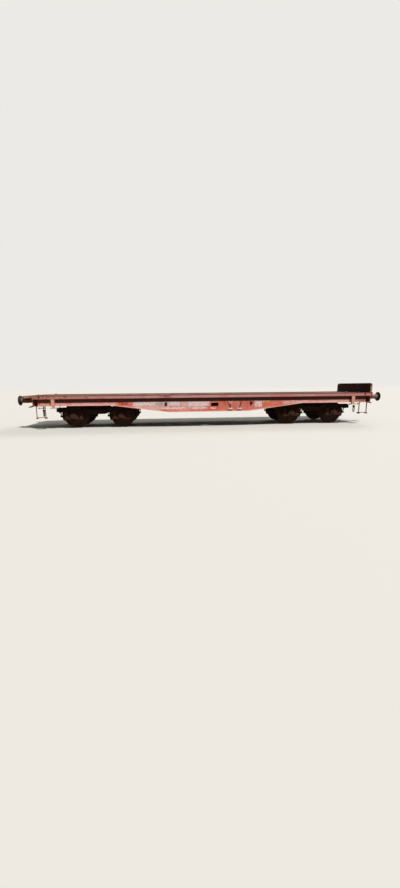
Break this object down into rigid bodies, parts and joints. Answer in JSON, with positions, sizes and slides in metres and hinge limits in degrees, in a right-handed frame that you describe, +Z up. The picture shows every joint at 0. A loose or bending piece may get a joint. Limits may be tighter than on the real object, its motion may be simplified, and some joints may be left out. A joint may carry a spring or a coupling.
{
  "type": "bogie flat wagon with hinged end boards",
  "caption": "Bogie flat wagon with fish-belly side girders, timber floor, side buffers, screw couplings, hinged end boards and turning bogies.",
  "frame": {"origin": "middle of the wagon at the lowest point of the wheel flanges", "axes": "+X along the wagon towards the upright end board, +Z up"},
  "size_m": [14.4196, 2.77, 1.645],
  "materials": {
    "frame_paint": "faded red oxide paint with rust",
    "under_paint": "dull red oxide paint, dusty and rusted",
    "deck_timber": "grey weathered softwood",
    "wheel_steel": "rolled steel, brown rust, tread rusted over",
    "axle_steel": "forged steel, brown rust",
    "buffer_steel": "dark greasy rust",
    "forged_steel": "forged steel, dark rust",
    "spring_steel": "spring steel, brown rust",
    "axlebox_iron": "cast steel, dusty rust",
    "bogie_steel": "old dark paint over rust",
    "brake_iron": "cast iron shoes, rust",
    "brake_gear_paint": "old dark paint over rust"
  },
  "bodies": {
    "root": {"air_reservoir": "brake_gear_paint", "bolsters": "under_paint", "brake_cylinder": "brake_gear_paint", "brake_pipe": "brake_gear_paint", "brake_rigging": "brake_gear_paint", "buffer_casings": "buffer_steel", "buffer_heads": "buffer_steel", "centre_sill": "under_paint", "changeover_levers": "frame_paint", "cross_members": "under_paint", "deck_planks": "deck_timber", "distributor_valve": "brake_gear_paint", "draw_hooks": "forged_steel", "edge_rails": "frame_paint", "end_board_hinges": "frame_paint", "headstocks": "frame_paint", "jacking_brackets": "frame_paint", "main_girders": "frame_paint", "rope_hooks": "frame_paint", "screw_couplings": "forged_steel", "shunter_handles": "frame_paint", "shunter_steps": "frame_paint", "stringers": "under_paint"},
    "bogie_a": {"bogie_a_axleboxes": "axlebox_iron", "bogie_a_bearings": "bogie_steel", "bogie_a_brakes": "brake_iron", "bogie_a_frame": "bogie_steel", "bogie_a_springs": "spring_steel"},
    "bogie_b": {"bogie_b_axleboxes": "axlebox_iron", "bogie_b_bearings": "bogie_steel", "bogie_b_brakes": "brake_iron", "bogie_b_frame": "bogie_steel", "bogie_b_springs": "spring_steel"},
    "wheelset_a1": {"axle_a1": "axle_steel", "wheels_a1": "wheel_steel"},
    "wheelset_a2": {"axle_a2": "axle_steel", "wheels_a2": "wheel_steel"},
    "wheelset_b1": {"axle_b1": "axle_steel", "wheels_b1": "wheel_steel"},
    "wheelset_b2": {"axle_b2": "axle_steel", "wheels_b2": "wheel_steel"},
    "end_board_a": {"end_board_a": "frame_paint"},
    "end_board_b": {"end_board_b": "frame_paint"}
  },
  "joints": [
    {"name": "bogie_a_pivot", "type": "hinge", "parent": "root", "child": "bogie_a", "pos_m": [-4.3, 0, 0.955], "axis": [0, 0, 1], "range_deg": [-4, 4]},
    {"name": "wheelset_a1_spin", "type": "hinge", "parent": "bogie_a", "child": "wheelset_a1", "pos_m": [-5.2, 0, 0.49], "axis": [0, 1, 0], "continuous": true},
    {"name": "wheelset_a2_spin", "type": "hinge", "parent": "bogie_a", "child": "wheelset_a2", "pos_m": [-3.4, 0, 0.49], "axis": [0, 1, 0], "continuous": true},
    {"name": "bogie_b_pivot", "type": "hinge", "parent": "root", "child": "bogie_b", "pos_m": [4.3, 0, 0.955], "axis": [0, 0, 1], "range_deg": [-4, 4]},
    {"name": "wheelset_b1_spin", "type": "hinge", "parent": "bogie_b", "child": "wheelset_b1", "pos_m": [3.4, 0, 0.49], "axis": [0, 1, 0], "continuous": true},
    {"name": "wheelset_b2_spin", "type": "hinge", "parent": "bogie_b", "child": "wheelset_b2", "pos_m": [5.2, 0, 0.49], "axis": [0, 1, 0], "continuous": true},
    {"name": "end_board_a_hinge", "type": "hinge", "parent": "root", "child": "end_board_a", "pos_m": [-6.603, 0, 1.228], "axis": [0, 1, 0], "range_deg": [0, 90]},
    {"name": "end_board_b_hinge", "type": "hinge", "parent": "root", "child": "end_board_b", "pos_m": [6.603, 0, 1.228], "axis": [0, 1, 0], "range_deg": [0, 90]}
  ]
}
